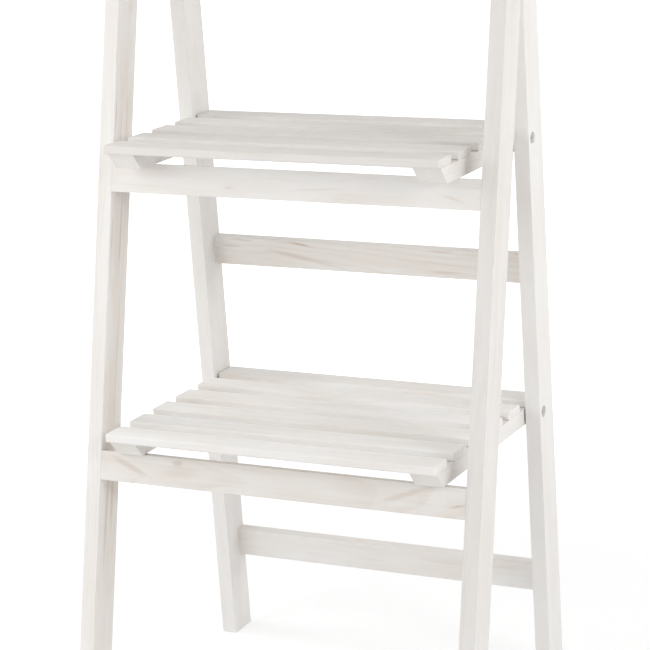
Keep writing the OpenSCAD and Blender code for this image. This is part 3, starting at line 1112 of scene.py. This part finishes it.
class MakePivotScrews(bpy.types.Operator):
    """Makes the screws on which the shelves turn in the rear legs"""

    bl_idname = "plant_stand.pivot_screws"
    bl_label = "Pivot Screws"

    grip: size_setting("Grip", 20, "How far a screw reaches into its cleat")
    head_height: size_setting("Head height", 2.4, "Height of a screw's head")

    def execute(self, context):
        for seed, shelf in enumerate(SHELVES, 10):
            node = shelf + "_pivot_screws"
            low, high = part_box(node)
            pin = JOINTS[shelf + "_shelf_fold"]["pos_m"]
            under_head = high.x - self.head_height
            length = under_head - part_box(shelf + "_cleat_right")[1].x + self.grip
            source = pivot_screw_source(length, high.z - low.z, self.head_height)
            fastener_rows(
                "screws_pivot_" + shelf, source, shelf + "_shelf", node,
                Count=1, Rows=2, First=(-under_head, pin[1], pin[2]), Step=0.0, Least=0.0,
                Row_step=(2 * under_head, 0, 0), Turn=(0, -QUARTER_TURN, 0), Row_turn=math.pi, Seed=seed,
            )
        return {"FINISHED"}


class MakePivotBolts(bpy.types.Operator):
    """Makes the two pivot bolts, their washers and their cap nuts"""

    bl_idname = "plant_stand.pivot_bolts"
    bl_label = "Pivot Bolts"

    head_height: size_setting("Head height", 3.5, "Height of a bolt's domed head")
    head_across: size_setting("Head across", 13, "Diameter of a bolt's head")
    head_rim: size_setting("Head rim", 0.5, "Height of the straight rim under a head's dome")
    socket_across: size_setting("Socket across", 4.6, "Size of the hexagon socket over its corners")
    socket_depth: size_setting("Socket depth", 2.3, "Depth of the hexagon socket")
    bevel: size_setting("Bevel", 0.25, "Bevel of a washer's edges")
    gap: size_setting("Gap", 0.3, "Room between a rear leg and the washer and the nut")
    nut_across: size_setting("Nut across", 11, "Size of a cap nut over its corners")
    nut_hexagon: size_setting("Nut hexagon", 5.4, "Length of a cap nut's hexagon")
    nut_length: size_setting("Nut length", 9, "Length of a cap nut with its dome")

    def execute(self, context):
        bolts, sockets, washers, nuts = (bmesh.new() for _ in range(4))
        head_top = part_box("front_leg_right")[1].x + self.head_height
        nut_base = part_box("rear_leg_right")[0].x - self.gap
        nut = cap_nut(self.nut_across, self.nut_hexagon, self.nut_length)
        for side in SIDES.values():
            out = sideways(side, 0, PIVOT.y, PIVOT.z)
            turned(bolts, self.bolt(nut_base), out, steps=48)
            prism(sockets, hexagon(self.socket_across), head_top - self.socket_depth, head_top + MM, out)
            turned(washers, self.washer(), out, steps=48)
            turned(nuts, [(nut_base - depth, radius) for depth, radius in nut], out, steps=48)
        bmesh.ops.remove_doubles(washers, verts=washers.verts, dist=1e-6)
        bmesh.ops.recalc_face_normals(washers, faces=washers.faces)
        pieces = {
            "pivot_bolts": cut_by(object_from("bolts_pivot", bolts), sockets),
            "pivot_washers": object_from("washers_pivot", washers),
            "pivot_cap_nuts": object_from("cap_nuts_pivot", nuts),
        }
        for node, thing in pieces.items():
            dress(smoothed(thing), "bolt_steel", "front_frame", [node])
        return {"FINISHED"}

    def bolt(self, nut_base):
        """Heights and radii of a bolt, whose rod ends half way into its nut"""
        face, rod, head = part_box("front_leg_right")[1].x, sizes().pivot_bolt / 2, self.head_across / 2
        point, bevel = 0.4 * MM, 0.15 * MM
        end = nut_base - self.nut_length / 2
        profile = [(end, 0), (end, rod - point), (end + point, rod), (face, rod), (face, head - bevel)]
        return profile + dome(head, self.head_height - self.head_rim, face + self.head_rim)

    def washer(self):
        """Heights and radii of a washer. They come back to where they start, so that it has its hole"""
        low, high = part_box("pivot_washers")
        inner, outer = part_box("rear_leg_right")[1].x + self.gap, high.x
        hole, ring, bevel = sizes().pivot_bolt / 2, (high.y - low.y) / 2, self.bevel
        side = [(inner, hole), (inner, ring - bevel), (inner + bevel, ring)]
        return side + [(outer - bevel, ring), (outer, ring - bevel), (outer, hole), (inner, hole)]


class FinishDowels(bpy.types.Operator):
    """Gives the dowels, which keep the frame's own shape, their bare wood"""

    bl_idname = "plant_stand.dowels"
    bl_label = "Dowels"

    def execute(self, context):
        for node in ("front_dowels", "rear_dowels"):
            mesh = frame["nodes"][node].data
            mesh.materials.clear()
            mesh.materials.append(finish("dowel_wood"))
        return {"FINISHED"}


# Where each lamp hangs: its azimuth in degrees, with 0 in front and 90 on the right, how
# far away and how high it is, and how wide, in metres
LAMPS = {
    "front": (-30, 1.30, 1.00, 0.8),
    "left": (-90, 1.30, 1.00, 0.8),
    "low": (-60, 1.30, 0.40, 0.8),
    "right": (66, 2.10, 1.10, 0.6),
    "side": (85, 1.40, 1.00, 0.6),
    "back": (125, 2.45, 1.60, 1.5),
}


class SetStage(bpy.types.Operator):
    """Sets the floor, the backdrop, the lamps and the camera"""

    bl_idname = "plant_stand.stage"
    bl_label = "Stage"

    ambient: FloatProperty(name="Ambient", description="Strength of the light from all round", default=0.68)
    front: power_setting("Front", 4.2, "Power of the lamp in front")
    left: power_setting("Left", 6.3, "Power of the lamp on the left")
    low: power_setting("Low", 1.9, "Power of the low lamp in front on the left")
    right: power_setting("Right", 8.8, "Power of the far lamp on the right")
    side: power_setting("Side", 2.3, "Power of the near lamp on the right")
    back: power_setting("Back", 10.2, "Power of the lamp behind on the right")

    def execute(self, context):
        self.lay_floor()
        self.light_up(context)
        self.aim_camera(context)
        context.scene.view_settings.view_transform = "Standard"
        return {"FINISHED"}

    def seen_directly(self, net):
        """1 for what the camera, a mirror or a glass sees"""
        seen = ray = net.node("ShaderNodeLightPath", out="Is Camera Ray")
        for name in ("Is Glossy Ray", "Is Transmission Ray"):
            seen = net.maths("MAXIMUM", seen, net.also(ray, name))
        return seen

    def lay_floor(self):
        """Lays a floor that bends up into a backdrop"""
        half_width, near, far, bend, top = 14.0, -9.0, 9.0, 2.5, 7.0
        profile = [(near, 0.0)]
        profile += [(far - bend + bend * math.sin(t), bend * (1 - math.cos(t))) for t in quarter_circle()]
        profile += [(far, top)]
        shape = bmesh.new()
        rows = [[shape.verts.new((x, y, z)) for y, z in profile] for x in (-half_width, half_width)]
        for k in range(len(profile) - 1):
            shape.faces.new((rows[0][k], rows[1][k], rows[1][k + 1], rows[0][k + 1]))
        floor = object_from("floor_and_backdrop", shape)
        floor.data.shade_smooth()
        floor.data.materials.append(self.floor_finish())

    def floor_finish(self):
        """A pale floor that is seen as white, but keeps the stand's shadow near the stand"""
        net, surface = material_net("floor")
        place = net.node("ShaderNodeTexCoord", out=3)
        mottle = net.noise(net.vector("MULTIPLY", place, (3.0, 3.0, 3.0)), 2.0)
        tone = net.blend(mottle * 0.04, colours().floor, (0.80, 0.80, 0.80))
        cast = net.node("ShaderNodeBsdfDiffuse", {}, {"Color": tone})
        from_stand = net.also(net.vector("LENGTH", place), 1)
        least_glow, pale = 0.53, 0.48
        strength = least_glow + net.step(from_stand, 0.45, 1.3) * (1 - least_glow)
        glow = net.node("ShaderNodeEmission", {}, {"Color": (1, 1, 1, 1), "Strength": strength})
        lit = net.node("ShaderNodeBsdfDiffuse", {}, {"Color": (pale, pale, pale, 1)})
        shown = net.node("ShaderNodeAddShader", {}, {0: glow, 1: lit})
        return surface(net.node("ShaderNodeMixShader", {}, {0: self.seen_directly(net), 1: cast, 2: shown}))

    def light_up(self, context):
        """Makes a world that is seen as white but lights the stand less, and hangs the lamps"""
        world = bpy.data.worlds.new("studio")
        world.use_nodes = True
        world.node_tree.nodes.clear()
        net = Net(world.node_tree)
        strength = self.seen_directly(net) * (1 - self.ambient) + self.ambient
        sky = net.node("ShaderNodeBackground", {}, {"Color": (1, 1, 1, 1), "Strength": strength})
        net.node("ShaderNodeOutputWorld", {}, {"Surface": sky})
        context.scene.world = world
        for name, place in LAMPS.items():
            self.hang_lamp(name + "_lamp", *place, getattr(self, name))

    def hang_lamp(self, name, azimuth, away, height, size, power):
        """Hangs a round soft lamp that points at the middle of the stand"""
        light = bpy.data.lights.new(name, "AREA")
        light.shape, light.size, light.energy = "DISK", size, power
        made = new_object(name, light)
        turn = math.radians(azimuth)
        made.location = (away * math.sin(turn), -away * math.cos(turn), height)
        towards_stand = Vector((0, 0, 0.5)) - made.location
        made.rotation_euler = towards_stand.to_track_quat("-Z", "Y").to_euler()
        made.visible_camera = False

    def aim_camera(self, context):
        """Places the camera where the legs, rails and slats line up with the photograph's"""
        camera = bpy.data.cameras.new("camera")
        camera.sensor_width = 36.0
        camera.lens = 132.555
        camera.clip_end = 60.0
        made = new_object("camera", camera)
        made.location = (0.9495, -1.9487, 0.9116)
        made.rotation_euler = [math.radians(turn) for turn in (75.973, 2.222, 25.272)]
        context.scene.camera = made


PIECES = (
    MakeFrontLegs,
    MakeRearLegs,
    MakeRails,
    MakeTopBoard,
    MakeSlats,
    MakeCleats,
    MakeSlatScrews,
    MakePivotScrews,
    MakePivotBolts,
    FinishDowels,
    SetStage,
)


class StandPanel(bpy.types.Panel):
    """Lists the pieces of the stand, its sizes and its colours"""

    bl_idname = "VIEW3D_PT_plant_stand"
    bl_label = "Plant Stand"
    bl_space_type = "VIEW_3D"
    bl_region_type = "UI"
    bl_category = "Plant Stand"

    def draw(self, context):
        for group in (context.scene.stand_sizes, context.scene.stand_colours):
            box = self.layout.box()
            for name in group.__annotations__:
                box.prop(group, name)
        for piece in PIECES:
            self.layout.operator(piece.bl_idname)


CLASSES = (StandSizes, StandColours, *PIECES, StandPanel)


def register():
    for made in CLASSES:
        bpy.utils.register_class(made)
    bpy.types.Scene.stand_sizes = PointerProperty(type=StandSizes)
    bpy.types.Scene.stand_colours = PointerProperty(type=StandColours)


def unregister():
    del bpy.types.Scene.stand_colours
    del bpy.types.Scene.stand_sizes
    for made in reversed(CLASSES):
        bpy.utils.unregister_class(made)


def main():
    register()
    for piece in PIECES:
        group, name = piece.bl_idname.split(".")
        getattr(getattr(bpy.ops, group), name)()


if __name__ == "__main__":
    main()
